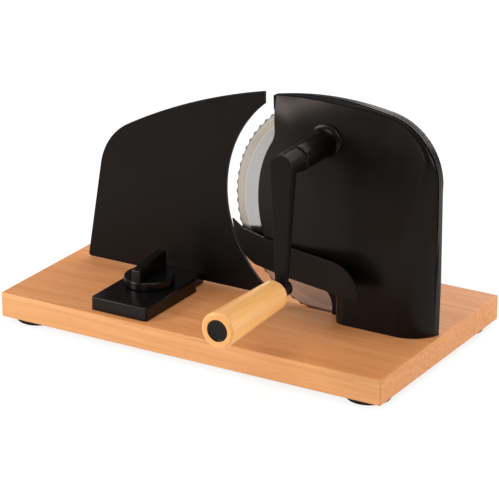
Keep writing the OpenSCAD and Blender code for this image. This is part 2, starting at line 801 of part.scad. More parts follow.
module blade_spindle() color(steel) at_blade() difference() {
    union() {
        rod_y(blade_journal_d, cover_front + cover_wall + play, blade_front);
        rod_y(blade_flange_d, blade_front - flange_t, blade_front);
        rod_y(blade_bore_d, blade_front - weld, blade_back - washer_room);
    }
    rod_y(blade_screw_d + 2 * snug, gear_front, blade_back + over);
}

module blade_gear() color(nylon) at_blade() difference() {
    along_y(gear_front, gear_back) rotate(90) gear_outline(gear_m, blade_gear_teeth, gear_backlash);
    rod_y(blade_journal_d + 2 * snug, gear_front - over, gear_back + over);
}

module blade_screw() color(steel) at_blade() difference() {
    union() {
        rod_y(blade_screw_d, gear_front + screw_free, blade_back + weld);
        translate([0, blade_back, 0]) rotate([-90, 0, 0])
            cylinder(d1 = blade_screw_head_d, d2 = blade_screw_top_d, h = blade_screw_head_h);
    }
    translate([-blade_screw_head_d, blade_back + blade_screw_head_h - coin_slot_h, -coin_slot_w / 2])
        cube([2 * blade_screw_head_d, coin_slot_h + over, coin_slot_w]);
}

// Stop plate: along its foot, up the arc round the blade, over the crest and down the leaning left edge
module stop_outline() {
    foot = [plate_left, board_top + plate_lift];
    hub = [blade_x, blade_z];
    reach = blade_r + plate_gap;
    crest = [blade_x + plate_crest_x, housing_top + plate_crest_up - plate_crest_r];
    edge = [sin(plate_lean), cos(plate_lean)];
    inward = [cos(plate_lean), -sin(plate_lean)];
    start = foot + plate_corner_r * inward - crest;
    b = start * edge;
    step = sqrt(b * b - start * start + pow(plate_crest_r - plate_corner_r, 2)) - b;
    corner = crest + start + step * edge;
    polygon(concat(
        [foot],
        arc(hub, reach, 180 + asin((blade_z - foot[1]) / reach), 180 - acos(plate_end / reach)),
        arc(crest, plate_crest_r, acos((-plate_end - plate_crest_x) / plate_crest_r), angle(crest, corner)),
        arc(corner, plate_corner_r, angle(crest, corner), 180 - plate_lean)));
}

module stop_plate() color(black) difference() {
    along_y(plate_front, plate_back) stop_outline();
    at_plate_screws() translate([0, plate_back, 0]) screw_y(plate_screw_d, plate_screw_len, snug);
}

module plate_screws() color(steel) at_plate_screws() translate([0, plate_back, 0])
    screw_y(plate_screw_d, plate_screw_len);

// Slide with the rack in its slot
module plate_slide() color(gloss_black) difference() {
    translate([gauge_x - slide_w / 2, slide_front, slide_z])
        cube([slide_w, plate_front - slide_front, slide_h]);
    difference() {
        translate([knob_x - slot_end, knob_y - slot_end, slide_z - over])
            cube([slot_end + pinion_r + dedendum * rack_m, plate_travel + 2 * slot_end, slide_h + 2 * over]);
        translate([knob_x + pinion_r, knob_y, 0]) linear_extrude(far) rack_teeth();
    }
    at_plate_screws() translate([0, plate_back, 0]) screw_y(plate_screw_d, plate_screw_len, snug);
}

// Rack teeth along Y, one of them facing the pinion's axis at rest
module rack_teeth() {
    pitch = PI * rack_m;
    lean = tan(pressure);
    half = pitch / 4 - rack_backlash / 2;
    top = rack_m - rack_backlash / 2;
    root = dedendum * rack_m + play;
    for (i = [-ceil(slot_end / pitch) : ceil((plate_travel + slot_end) / pitch)]) translate([0, i * pitch])
        polygon([[root, half + root * lean], [-top, half - top * lean],
            [-top, top * lean - half], [root, -half - root * lean]]);
}

// Knob, pinion and what holds them
module gauge_knob() color(gloss_black) at_knob() difference() {
    union() {
        translate([0, 0, knob_z]) cylinder(d = knob_d, h = knob_h);
        translate([0, 0, slide_top]) cylinder(d = stem_d, h = knob_z - slide_top + weld);
        translate([0, 0, pinion_z]) cylinder(d = stem_neck_d, h = slide_top - pinion_z + weld);
        intersection() {
            translate([-bar_w / 2, 0, knob_z + knob_h - weld]) rotate([90, 0, 90])
                linear_extrude(bar_w) bar_side();
            translate([0, 0, knob_z]) cylinder(d = bar_len, h = far);
        }
    }
    translate([0, 0, pinion_z - over])
        cylinder(d = knob_screw_d + 2 * snug, h = knob_screw_len + screw_free + over);
}

// Side of the bar, drawn in Y and Z, higher at the back
module bar_side() polygon([
    [-bar_len / 2, 0], [-bar_len / 2, bar_h_front - bar_ease], [bar_ease - bar_len / 2, bar_h_front],
    [bar_len / 2 - bar_ease, bar_h_back], [bar_len / 2, bar_h_back - bar_ease], [bar_len / 2, 0]
]);

module gauge_pinion() color(nylon) at_knob() difference() {
    translate([0, 0, pinion_z]) linear_extrude(slide_top - pinion_z) rotate(180 / pinion_teeth)
        gear_outline(rack_m, pinion_teeth, rack_backlash);
    cylinder(d = stem_neck_d + 2 * snug, h = far);
}

module knob_washer() color(steel) at_knob() difference() {
    translate([0, 0, block_top + knob_washer_room]) cylinder(d = knob_washer_d, h = knob_washer_t);
    cylinder(d = stem_d + 2 * run, h = far);
}

module knob_screw() color(steel) at_knob() {
    translate([0, 0, pinion_z - weld]) cylinder(d = knob_screw_d, h = knob_screw_len);
    translate([0, 0, pinion_z - knob_screw_head_h]) cylinder(d = knob_screw_head_d, h = knob_screw_head_h);
}

base_board();
rubber_feet();
foot_screws();
housing_cover();
housing_back();
cover_screws();
housing_screws();
crank_front_bush();
crank_rear_bush();
blade_front_bush();
blade_rear_bush();
slice_deflector();
deflector_screws();
gauge_block();
gauge_screws();
crank_shaft();
crank_gear();
crank_washer();
crank_arm();
hub_screw();
handle_spindle();
handle_screw();
handle_grip();
grip_plug();
blade();
blade_spindle();
blade_gear();
blade_screw();
stop_plate();
plate_slide();
plate_screws();
gauge_knob();
gauge_pinion();
knob_washer();
knob_screw();
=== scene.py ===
"""Looks of a hand-cranked bread slicer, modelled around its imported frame.

Lengths are in metres in the part's own frame: X runs along the board towards the housing,
Y goes away from the crank side and Z is up. Sizes written in millimetres are times MM.
"""
import json
import math

import bmesh
import bpy
import numpy as np
from bmesh.types import BMEdge, BMVert
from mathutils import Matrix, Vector


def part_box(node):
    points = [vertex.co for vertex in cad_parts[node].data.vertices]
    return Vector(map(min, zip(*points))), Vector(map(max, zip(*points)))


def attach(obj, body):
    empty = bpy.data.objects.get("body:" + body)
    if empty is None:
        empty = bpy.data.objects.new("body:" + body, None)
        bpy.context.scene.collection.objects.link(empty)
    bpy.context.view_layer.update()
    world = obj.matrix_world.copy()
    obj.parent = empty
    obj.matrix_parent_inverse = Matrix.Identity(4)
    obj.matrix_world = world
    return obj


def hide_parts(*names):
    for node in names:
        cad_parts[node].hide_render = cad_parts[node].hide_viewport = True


MM = 0.001
NEAR = 1e-6
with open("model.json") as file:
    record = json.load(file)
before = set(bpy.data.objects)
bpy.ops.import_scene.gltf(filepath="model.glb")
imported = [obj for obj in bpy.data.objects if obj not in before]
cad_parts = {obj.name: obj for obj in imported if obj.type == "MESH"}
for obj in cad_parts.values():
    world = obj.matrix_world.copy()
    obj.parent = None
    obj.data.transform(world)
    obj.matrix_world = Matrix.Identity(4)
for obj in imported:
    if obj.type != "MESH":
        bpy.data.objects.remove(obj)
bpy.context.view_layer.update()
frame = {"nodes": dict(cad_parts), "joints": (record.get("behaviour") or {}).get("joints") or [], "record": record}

# Places taken from the frame
axis_of = {joint["name"]: Vector(joint["pos_m"]) for joint in frame["joints"] if "pos_m" in joint}
BLADE = axis_of["blade_turn"]
CRANK = axis_of["crank_turn"]
HANDLE = axis_of["grip_spin"]
KNOB = axis_of["knob_turn"]
BOARD_LOW, BOARD_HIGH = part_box("base_board")
FEET_LOW, FEET_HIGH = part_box("rubber_feet")
BACK_LOW, BACK_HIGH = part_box("housing_back")
COVER_LOW, COVER_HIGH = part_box("housing_cover")
HUB_LOW, HUB_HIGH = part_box("crank_arm")
GRIP_LOW, GRIP_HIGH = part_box("handle_grip")
PLUG_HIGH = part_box("grip_plug")[1]
BLADE_LOW, BLADE_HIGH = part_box("blade")
BLOCK_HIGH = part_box("gauge_block")[1]
SLIDE_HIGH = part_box("plate_slide")[1]
STEM_LOW, KNOB_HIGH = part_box("gauge_knob")
PLATE_LOW, PLATE_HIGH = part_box("stop_plate")
BOARD_TOP = BOARD_HIGH.z
SEAM = BACK_LOW.y

# The board, its one glue line and its feet
BOARD_EASE = 1.2 * MM
GLUE_Y = 61.5 * MM
FOOT_R = 19 * MM
FOOT_TAPER = 1 * MM
FOOT_EASE = 1.6 * MM
FOOT_SINK_R = 4.3 * MM
FOOT_SINK_EASE = 0.3 * MM
FOOT_BORE_R = 2.1 * MM
FOOT_SHELF = 1.5 * MM

# The housing's outline, seen from the crank side, with CHIN_TURN in degrees
HOUSING_RIGHT = BACK_HIGH.x
HOUSING_TOP = COVER_HIGH.z
COVER_TIP = 49.5 * MM
TIP_LEAN = 2 * MM
LEG_LEFT = 9 * MM
LEG_FILLET = 10 * MM
CREST_R = 273 * MM
CREST = Vector((BLADE.x + 3.8 * MM, HOUSING_TOP - CREST_R))
TIP_CREST_R = 370 * MM
TIP_CREST = Vector((CREST[0], HOUSING_TOP - TIP_CREST_R))
CORNER_R = 55 * MM
NOSE_R = 89 * MM
NOSE = Vector((BLADE.x + 20.8 * MM, BLADE.z + 3.9 * MM))
CHIN_R = 54 * MM
CHIN_TURN = 20
NECK_R = 20 * MM

# The cover's front: its broad rolls, the brow under its crest, its rim and its rounded edges
COVER_FRONT = SEAM - 16.2 * MM
CREST_ROLL_R = 420 * MM
CREST_ROLL_Z = BLADE.z + 13 * MM
CREST_TILT = math.radians(16.4)
NOSE_ROLL_R = 211 * MM
SIDE_ROLL_R = 30 * MM
SIDE_ROLL_X = HOUSING_RIGHT + 0.2 * MM
SIDE_TILT = math.radians(2)
BROW = 30 * MM
BROW_END = 32 * MM
BROW_WALL = 1.5 * MM
TIP_RIM = 0.8 * MM
CORNER_RIM = 4 * MM
EDGE_R = 1 * MM
LEG_EDGE_R = 11 * MM
LEG_EDGE_RISE = (75 * MM, 50 * MM)
LEAN_STEP = 0.05 * MM
COVER_RINGS = [step * MM for step in (0.2, 0.3, 0.4, 0.5, 0.6)]
COVER_GRID = 2.5 * MM

# The groove at the seam and the band behind it, which grow between two heights and two places along X
SEAM_GAP = 2.2 * MM
GROOVE_RISE = (80 * MM, 130 * MM)
GROOVE_DEPTH = 3 * MM
LIP_WALL = 0.15 * MM
BAND = 2.2 * MM
BAND_RISE = (BLADE.x + 5 * MM, BLADE.x + 45 * MM)
BAND_LEAST = 0.05 * MM
BAND_WALL = 4 * MM

# The boss on the cover
BOSS_R = 11 * MM
BOSS_BORE_R = 7 * MM
BOSS_EASE = 0.7 * MM
BOSS_FLARE = 5 * MM
BOSS_SINK = 1 * MM
BOSS_ROOT = 2 * MM

# The back plate: the cut at its tip, below the tip's top, and its right foot
BACK_TIP = 56.5 * MM
BACK_CUT = (11.5 * MM, 16 * MM)
BACK_CUT_DEPTH = 5 * MM
BACK_CUT_LOW = BLADE.z + 55 * MM
BACK_EASE = 0.5 * MM
BACK_ZONE = 1 * MM
SIDE_FOOT_W = 12 * MM
SIDE_STEP = 2.9 * MM
SIDE_BLEND_TOP = 120 * MM
LONG_EDGE = 2 * MM

# The crank and its handle
HUB_R = 10 * MM
HUB_PLAY = 0.02 * MM
HUB_SINK = 2 * MM
HUB_EASE = 0.9 * MM
ARM_T = 9 * MM
ARM_NECK_T = 5 * MM
ARM_NECK_R = 4.75 * MM
ARM_EASE = 0.8 * MM
ARM_TIP_R = 6.5 * MM
ARM_TIP_LEN = 9.5 * MM
ARM_TIP_EASE = 0.5 * MM
GRIP_R_IN = 12.2 * MM
GRIP_R_OUT = 15 * MM
GRIP_ROUND = 3 * MM
SPINDLE_R = 4.05 * MM
PLUG_R = 9 * MM
PLUG_BORE = 15 * MM
PLUG_BORE_EASE = 0.5 * MM
PLUG_PLAY = 0.05 * MM
PLUG_DISH = 0.9 * MM
PLUG_STEP = 0.5 * MM
PLUG_STEP_EASE = 0.3 * MM
PLUG_RIM_FOOT = 1.6 * MM
PLUG_RIM_TOP = 1 * MM
PLUG_EASE = 0.4 * MM

# The blade
BLADE_R = (BLADE_HIGH.x - BLADE_LOW.x) / 2
BLADE_TEETH = 72
TOOTH_STEPS = 8
TOOTH_DEPTH = 1.3 * MM
BLADE_BEVEL = 9.5 * MM
BLADE_LAND = 2.6 * MM
BLADE_EDGE = 0.5 * MM
BLADE_BORE_R = 8 * MM

# The stop plate, the deflector, the slide and the gauge block
PLATE_EASE = 0.6 * MM
PLATE_FOOT_R = 3 * MM
PLATE_FOOT_RIGHT = PLATE_LOW.x + 5 * MM
PLATE_TIP_R = 1.2 * MM
PLATE_TIP_LOW = BLADE.z + 50 * MM
DEFLECTOR_EASE = 0.5 * MM
SLIDE_EASE = 0.6 * MM
BLOCK_EASE = 1.8 * MM

# The thickness knob
KNOB_R = 21.5 * MM
KNOB_H = 7 * MM
KNOB_LIFT = 0.6 * MM
KNOB_LOW_EASE = 0.6 * MM
KNOB_TOP_EASE = 1.4 * MM
STEM_R = 4.5 * MM
STEM_NECK_R = 3.5 * MM
BAR_W = 8.7 * MM
BAR_LEN = 42 * MM
BAR_FRONT_H = 11 * MM
BAR_SINK = 1 * MM
BAR_EASE = 2 * MM
BAR_EDGE = 1.2 * MM

# The wood: its pith and rings, its darker end grain, the planks' redder top and the glue between them
PITH_SIDE = 90 * MM
PITH_DEPTH = 110 * MM
RING_W = 4.5 * MM
END_GRAIN = 0.6 * MM
END_GRAIN_TINT = (0.95, 0.85, 0.76, 1)
TOP_SKIN = 0.5 * MM
TOP_TINT = (1.0, 0.87, 0.83, 1)
GLUE_SOFT = (0.3 * MM, 0.9 * MM)

# The black coats' warm tint on their reflections, a painted reflection of the wooden board, and the
# blade's ground band with a painted highlight along its ridge and painted shade over its scallops
PAINTED_WOOD_REFLECTION_TINT = (1.05, 0.87, 0.78, 1)
GROUND_TINT = (1.06, 0.95, 0.85)
RIDGE_HIGHLIGHT_SOFT = (0.3 * MM, 0.8 * MM)
SCALLOP_SHADE = 1.2 * MM


def linear(code):
    """An sRGB hex colour as linear RGBA."""
    parts = [int(code[i:i + 2], 16) / 255 for i in (1, 3, 5)]
    return [c / 12.92 if c <= 0.04045 else ((c + 0.055) / 1.055) ** 2.4 for c in parts] + [1]


def add(tree, kind, sockets=None, **settings):
    """Adds a shader node with its settings, and sets or links the input sockets that are named."""
    made = tree.nodes.new("ShaderNode" + kind)
    for name, value in settings.items():
        setattr(made, name, value)
    for name, value in (sockets or {}).items():
        if isinstance(value, bpy.types.NodeSocket):
            tree.links.new(value, made.inputs[name])
        else:
            made.inputs[name].default_value = value
    return made


def new_material(name):
    """An empty material with its output: gives the material, its tree and its shader node."""
    material = bpy.data.materials.new(name)
    material.use_nodes = True
    tree = material.node_tree
    tree.nodes.clear()
    shader = add(tree, "BsdfPrincipled")
    add(tree, "OutputMaterial", {"Surface": shader.outputs["BSDF"]})
    return material, tree, shader


def beech(name, grain, ends, pale, deep, roughness, coat, glue=None):
    """Beech with its grain along one axis, "X" or "Y", between two ends.

    A slow drift of tone, fine streaks and the short dark flecks of beech run along the grain, and growth
    rings about a far pith show on the ends. Streaks, flecks and rings are two or three times the real
    width so that they show. The end grain is darker. If a glue line is given, it is two planks with a
    soft dark line between them, and their top is a little redder than their sides.
    """
    material, tree, shader = new_material(name)
    place = add(tree, "TexCoord").outputs["Object"]
    parts = add(tree, "SeparateXYZ", {"Vector": place})
    across = "Y" if grain == "X" else "X"
    moved = place
    if glue is not None:
        plank = add(tree, "Math", {0: parts.outputs[across], 1: glue}, operation="GREATER_THAN").outputs[0]
        shift = add(tree, "CombineXYZ", {"X": plank, "Y": plank, "Z": plank})
        moved = add(tree, "VectorMath", {0: place, 1: shift.outputs[0]}, operation="ADD").outputs[0]

    def grained(length, width, detail):
        """Noise drawn out along the grain, with its length and width in millimetres."""
        scale = [1 / (width * MM)] * 3
        scale["XY".index(grain)] = 1 / (length * MM)
        drawn = add(tree, "Mapping", {"Vector": moved, "Scale": scale})
        noise = add(tree, "TexNoise", {"Vector": drawn.outputs[0], "Scale": 1, "Detail": detail})
        return noise.outputs["Fac"]

    drift = grained(220, 28, 2)
    streaks = grained(90, 3.2, 3)
    flecks = add(tree, "MapRange", {"Value": grained(9, 1.4, 1), "From Min": 0.60, "From Max": 0.75,
                                    "To Max": 0.32})
    spot = add(tree, "SeparateXYZ", {"Vector": moved})
    side = add(tree, "Math", {0: spot.outputs[across], 1: PITH_SIDE}, operation="ADD")
    depth = add(tree, "Math", {0: spot.outputs["Z"], 1: PITH_DEPTH}, operation="ADD")
    pith = add(tree, "CombineXYZ", {"X": side.outputs[0], "Y": depth.outputs[0]})
    radius = add(tree, "VectorMath", {0: pith.outputs[0]}, operation="LENGTH").outputs["Value"]
    turns = add(tree, "Math", {0: radius, 1: 1 / RING_W}, operation="MULTIPLY")
    turns = add(tree, "Math", {0: drift, 1: 7, 2: turns.outputs[0]}, operation="MULTIPLY_ADD")
    rings = add(tree, "TexNoise", {"W": turns.outputs[0], "Scale": 1, "Detail": 1}, noise_dimensions="1D")
    tone = add(tree, "Math", {0: drift, 1: 0.5, 2: -0.25}, operation="MULTIPLY_ADD").outputs[0]
    for pattern, weight in ((streaks, 1.1), (rings.outputs["Fac"], 0.55), (flecks.outputs[0], 1)):
        tone = add(tree, "Math", {0: pattern, 1: weight, 2: tone}, operation="MULTIPLY_ADD").outputs[0]
    tone = add(tree, "MapRange", {"Value": tone, "From Min": 0.35, "From Max": 1.4}).outputs[0]
    wood = add(tree, "Mix", {0: tone, 6: linear(pale), 7: linear(deep)}, data_type="RGBA").outputs[2]
    off = add(tree, "Math", {0: parts.outputs[grain], 1: (ends[0] + ends[1]) / 2}, operation="SUBTRACT")
    off = add(tree, "Math", {0: off.outputs[0]}, operation="ABSOLUTE")
    sound = (ends[1] - ends[0]) / 2 - END_GRAIN
    sawn = add(tree, "Math", {0: off.outputs[0], 1: sound}, operation="GREATER_THAN").outputs[0]
    wood = add(tree, "Mix", {0: sawn, 6: wood, 7: END_GRAIN_TINT}, data_type="RGBA",
               blend_type="MULTIPLY").outputs[2]
    if glue is not None:
        off = add(tree, "Math", {0: parts.outputs[across], 1: glue}, operation="SUBTRACT")
        off = add(tree, "Math", {0: off.outputs[0]}, operation="ABSOLUTE")
        line = add(tree, "MapRange", {"Value": off.outputs[0], "From Min": GLUE_SOFT[0],
                                      "From Max": GLUE_SOFT[1], "To Min": 0.45, "To Max": 0}).outputs[0]
        wood = add(tree, "Mix", {0: line, 6: wood, 7: linear("#8a5a33")}, data_type="RGBA").outputs[2]
        height = parts.outputs["Z"]
        skin = add(tree, "Math", {0: height, 1: BOARD_TOP - TOP_SKIN}, operation="GREATER_THAN").outputs[0]
        wood = add(tree, "Mix", {0: skin, 6: wood, 7: TOP_TINT}, data_type="RGBA",
                   blend_type="MULTIPLY").outputs[2]
    tree.links.new(wood, shader.inputs["Base Color"])
    rough = add(tree, "MapRange", {"Value": tone, "To Min": roughness, "To Max": roughness + 0.1})
    tree.links.new(rough.outputs[0], shader.inputs["Roughness"])
    bump = add(tree, "Bump", {"Height": tone, "Strength": 0.1, "Distance": 0.2 * MM})
    tree.links.new(bump.outputs[0], shader.inputs["Normal"])
    shader.inputs["Coat Weight"].default_value = coat
    shader.inputs["Coat Roughness"].default_value = 0.3
    shader.inputs["Specular IOR Level"].default_value = 0.3
    return material


def coated_black(name, colour, roughness, specular, grit, depth):
    """Black powder coat or moulded black plastic.

    One dark colour, with a fine skin of the given grit and depth and an uneven gloss. Its reflections
    are warmed by a tint that paints in the warm reflection of the wooden board.
    """
    material, tree, shader = new_material(name)
    place = add(tree, "TexCoord").outputs["Object"]
    skin = add(tree, "TexNoise", {"Vector": place, "Scale": 1 / grit, "Detail": 2, "Roughness": 0.55})
    cloud = add(tree, "TexNoise", {"Vector": place, "Scale": 1 / (35 * MM), "Detail": 3})
    shade = add(tree, "MapRange", {"Value": cloud.outputs["Fac"], "To Min": 0.8, "To Max": 1.2})
    tone = add(tree, "VectorMath", {0: linear(colour)[:3], "Scale": shade.outputs[0]}, operation="SCALE")
    tree.links.new(tone.outputs[0], shader.inputs["Base Color"])
    gloss = add(tree, "MapRange", {"Value": cloud.outputs["Fac"], "From Min": 0.3, "From Max": 0.7,
                                   "To Min": roughness - 0.03, "To Max": roughness + 0.05})
    tree.links.new(gloss.outputs[0], shader.inputs["Roughness"])
    bump = add(tree, "Bump", {"Height": skin.outputs["Fac"], "Strength": 0.25, "Distance": depth})
    tree.links.new(bump.outputs[0], shader.inputs["Normal"])
    shader.inputs["Specular IOR Level"].default_value = specular
    # The warm tint on the reflections is painted: it stands in for the warm reflection of the wooden board
    shader.inputs["Specular Tint"].default_value = PAINTED_WOOD_REFLECTION_TINT
    return material


def turned_metal(name, colour, roughness, centre, line, ground=None):
    """Metal polished on a lathe: fine rings about an axis along Y, which vary its gloss.

    Between two radii, if they are given, it is ground and less glossy, and its colour is made warmer there.
    A painted highlight brightens the ridge where the grinding starts, and painted shade darkens the scallops at
    its edge.
    """
    material, tree, shader = new_material(name)
    place = add(tree, "TexCoord").outputs["Object"]
    centred = add(tree, "VectorMath", {0: place, 1: centre}, operation="SUBTRACT").outputs[0]
    flat = add(tree, "VectorMath", {0: centred, 1: (1, 0, 1)}, operation="MULTIPLY").outputs[0]
    radius = add(tree, "VectorMath", {0: flat}, operation="LENGTH").outputs["Value"]
    rings = add(tree, "Math", {0: radius, 1: 1 / line}, operation="MULTIPLY")
    lines = add(tree, "TexNoise", {"W": rings.outputs[0], "Scale": 1, "Detail": 2}, noise_dimensions="1D")
    smear = add(tree, "TexNoise", {"Vector": place, "Scale": 1 / (25 * MM), "Detail": 3})
    mixed = add(tree, "Math", {0: lines.outputs["Fac"], 1: smear.outputs["Fac"]}, operation="ADD")
    gloss = add(tree, "MapRange", {"Value": mixed.outputs[0], "From Min": 0.7, "From Max": 1.3,
                                   "To Min": roughness - 0.05, "To Max": roughness + 0.08}).outputs[0]
    shade = add(tree, "MapRange", {"Value": lines.outputs["Fac"], "To Min": 0.9, "To Max": 1.06})
    tone = add(tree, "VectorMath", {0: linear(colour)[:3], "Scale": shade.outputs[0]},
               operation="SCALE").outputs[0]
    if ground:
        past = add(tree, "Math", {0: radius, 1: ground[0]}, operation="GREATER_THAN").outputs[0]
        warm = add(tree, "VectorMath", {0: tone, 1: GROUND_TINT}, operation="MULTIPLY")
        tone = add(tree, "Mix", {0: past, 6: tone, 7: warm.outputs[0]}, data_type="RGBA").outputs[2]
        # Painted highlight: a thin ring of brighter colour where the grinding starts
        ridge = add(tree, "Math", {0: radius, 1: ground[0]}, operation="SUBTRACT")
        ridge = add(tree, "Math", {0: ridge.outputs[0]}, operation="ABSOLUTE")
        ridge = add(tree, "MapRange", {"Value": ridge.outputs[0], "From Min": RIDGE_HIGHLIGHT_SOFT[0],
                                       "From Max": RIDGE_HIGHLIGHT_SOFT[1], "To Min": 1.18, "To Max": 1})
        # Painted shade: the colour darkens towards the scallops at the edge
        shade_from, shade_to = ground[1] - BLADE_LAND, ground[1] - SCALLOP_SHADE
        scallops = add(tree, "MapRange", {"Value": radius, "From Min": shade_from, "From Max": shade_to,
                                          "To Min": 1, "To Max": 0.42})
        level = add(tree, "Math", {0: ridge.outputs[0], 1: scallops.outputs[0]}, operation="MULTIPLY")
        tone = add(tree, "VectorMath", {0: tone, "Scale": level.outputs[0]}, operation="SCALE").outputs[0]
        gloss = add(tree, "Math", {0: past, 1: 0.14, 2: gloss}, operation="MULTIPLY_ADD").outputs[0]
    tree.links.new(gloss, shader.inputs["Roughness"])
    tree.links.new(tone, shader.inputs["Base Color"])
    bump = add(tree, "Bump", {"Height": lines.outputs["Fac"], "Strength": 0.08, "Distance": 0.02 * MM})
    tree.links.new(bump.outputs[0], shader.inputs["Normal"])
    shader.inputs["Metallic"].default_value = 1
    return material


def plain_moulded(name, colour, roughness, specular):
    """Rubber or nylon: a soft matt moulding with a slightly mottled skin."""
    material, tree, shader = new_material(name)
    place = add(tree, "TexCoord").outputs["Object"]
    mottle = add(tree, "TexNoise", {"Vector": place, "Scale": 1 / (4 * MM), "Detail": 4})
    shade = add(tree, "MapRange", {"Value": mottle.outputs["Fac"], "To Min": 0.8, "To Max": 1.15})
    tone = add(tree, "VectorMath", {0: linear(colour)[:3], "Scale": shade.outputs[0]}, operation="SCALE")
    tree.links.new(tone.outputs[0], shader.inputs["Base Color"])
    bump = add(tree, "Bump", {"Height": mottle.outputs["Fac"], "Strength": 0.2, "Distance": 0.1 * MM})
    tree.links.new(bump.outputs[0], shader.inputs["Normal"])
    shader.inputs["Roughness"].default_value = roughness
    shader.inputs["Specular IOR Level"].default_value = specular
    return material


finishes = {
    "board_beech": beech("oiled_beech_planks", "X", (BOARD_LOW.x, BOARD_HIGH.x), "#dfa46d", "#c5844c",
                         roughness=0.42, coat=0.0, glue=GLUE_Y),
    "grip_beech": beech("varnished_beech", "Y", (GRIP_LOW.y, GRIP_HIGH.y), "#f4ba74", "#e09e5a",
                        roughness=0.34, coat=0.3),
    "housing_black": coated_black("satin_black_casting", "#0a0807", roughness=0.32, specular=0.17,
                                  grit=0.9 * MM, depth=0.008 * MM),
    "plate_black": coated_black("satin_black_sheet", "#0d0b0a", roughness=0.40, specular=0.12,
                                grit=0.8 * MM, depth=0.012 * MM),
    "gauge_black": coated_black("moulded_black_plastic", "#0b0a0a", roughness=0.22, specular=0.22,
                                grit=1.2 * MM, depth=0.006 * MM),
    "foot_rubber": plain_moulded("black_rubber", "#0d0c0c", roughness=0.75, specular=0.2),
    "blade_steel": turned_metal("polished_stainless", "#b2b0ad", roughness=0.18, centre=BLADE,
                                line=0.7 * MM, ground=(BLADE_R - BLADE_BEVEL, BLADE_R)),
    "bright_steel": turned_metal("bright_zinc", "#bfc0c2", roughness=0.28, centre=BLADE, line=0.5 * MM),
    "bush_bronze": turned_metal("sintered_bronze", "#a8854a", roughness=0.42, centre=BLADE, line=0.5 * MM),
    "gear_nylon": plain_moulded("natural_nylon", "#dcd8cb", roughness=0.5, specular=0.4),
}
browned_steel = turned_metal("browned_steel", "#3c3c3f", roughness=0.30, centre=HANDLE, line=0.5 * MM)
slot_of = {row["node"]: row["material_slot"] for row in frame["record"]["subparts"]}
body_of = {node: body for body, nodes in frame["record"]["behaviour"]["bodies"].items() for node in nodes}
for name, cad_object in frame["nodes"].items():
    cad_object.data.materials.clear()
    cad_object.data.materials.append(browned_steel if name == "handle_spindle" else finishes[slot_of[name]])

# Helpers for outlines and meshes
SHARP = math.radians(38)
FLAT = math.radians(0.2)


def arc(centre, radius, start, end, steps=12):
    """Points of an arc, angles in degrees."""
    turns = [math.radians(start + (end - start) * i / steps) for i in range(steps + 1)]
    return [Vector((centre[0] + radius * math.cos(t), centre[1] + radius * math.sin(t))) for t in turns]


def heading(start, end):
    """Angle in degrees of the way from one point to another."""
    return math.degrees(math.atan2(end[1] - start[1], end[0] - start[0]))


def rounded(corners, steps=5):
    """An outline of (x, y, radius) corners with each corner rounded by its radius."""
    points = []
    for i, (x, y, radius) in enumerate(corners):
        corner = Vector((x, y))
        if not radius:
            points.append(corner)
            continue
        before = (Vector(corners[i - 1][:2]) - corner).normalized()
        after = (Vector(corners[(i + 1) % len(corners)][:2]) - corner).normalized()
        half = before.angle(after) / 2
        centre = corner + (before + after).normalized() * radius / math.sin(half)
        start = corner + before * radius / math.tan(half) - centre
        end = corner + after * radius / math.tan(half) - centre
        sweep = start.angle(end)
        for k in range(steps + 1):
            t = k / steps
            along = start * math.sin((1 - t) * sweep) + end * math.sin(t * sweep)
            points.append(centre + along / math.sin(sweep))
    return points


def turned(bm, outline, centre, axis, steps=96):
    """Adds a ring or disc turned about an axis, "Y" or "Z".

    The outline's points are (radius, place along the axis).
    """
    if axis == "Y":
        verts = [bm.verts.new((centre.x + r, along, centre.z)) for r, along in outline]
    else:
        verts = [bm.verts.new((centre.x + r, centre.y, along)) for r, along in outline]
    edges = [bm.edges.new(pair) for pair in zip(verts, verts[1:] + verts[:1])]
    bmesh.ops.spin(bm, geom=verts + edges, cent=centre, axis=(0, axis == "Y", axis == "Z"),
                   angle=math.tau, steps=steps, use_merge=True)
    bmesh.ops.remove_doubles(bm, verts=bm.verts, dist=NEAR)
    bmesh.ops.dissolve_degenerate(bm, edges=bm.edges, dist=NEAR)


def only(geom, kind):
    """The items of one kind among an operator's results."""
    return [item for item in geom if isinstance(item, kind)]


def face_across(bm, outline, y):
    """A flat face at a place along Y, with the outline's (x, z) points."""
    return bm.faces.new([bm.verts.new((p[0], y, p[1])) for p in outline])


def grown_from(bm, face):
    """Doubles a face and joins both with walls: gives the new face's verts and the edges round both."""
    rim = list(face.edges)
    grown = bmesh.ops.extrude_face_region(bm, geom=[face], use_keep_orig=True)["geom"]
    return only(grown, BMVert), rim + only(grown, BMEdge)


def capped(bm, wall):
    """Closes the open side of walls that were just extruded, and gives the new face in a list."""
    rim = [edge for edge in only(wall, BMEdge) if edge.is_boundary]
    return bmesh.ops.contextual_create(bm, geom=rim)["faces"]


def eased(bm, edges, width, segments=3):
    """Rounds the given edges."""
    bmesh.ops.bevel(bm, geom=edges, offset=width, offset_type="OFFSET", segments=segments, profile=0.5,
                    affect="EDGES", clamp_overlap=False, material=-1)


def copy_of(node):
    """A merged copy of a CAD node's mesh with its flat faces whole again."""
    bm = bmesh.new()
    bm.from_mesh(frame["nodes"][node].data)
    bmesh.ops.remove_doubles(bm, verts=bm.verts, dist=NEAR)
    bmesh.ops.dissolve_limit(bm, angle_limit=FLAT, verts=bm.verts, edges=bm.edges)
    return bm


def both_ends(edge, test):
    """Whether both ends of an edge pass a test."""
    return all(test(vert.co) for vert in edge.verts)


def middle_of(edge):
    """The middle of an edge."""
    return (edge.verts[0].co + edge.verts[1].co) / 2


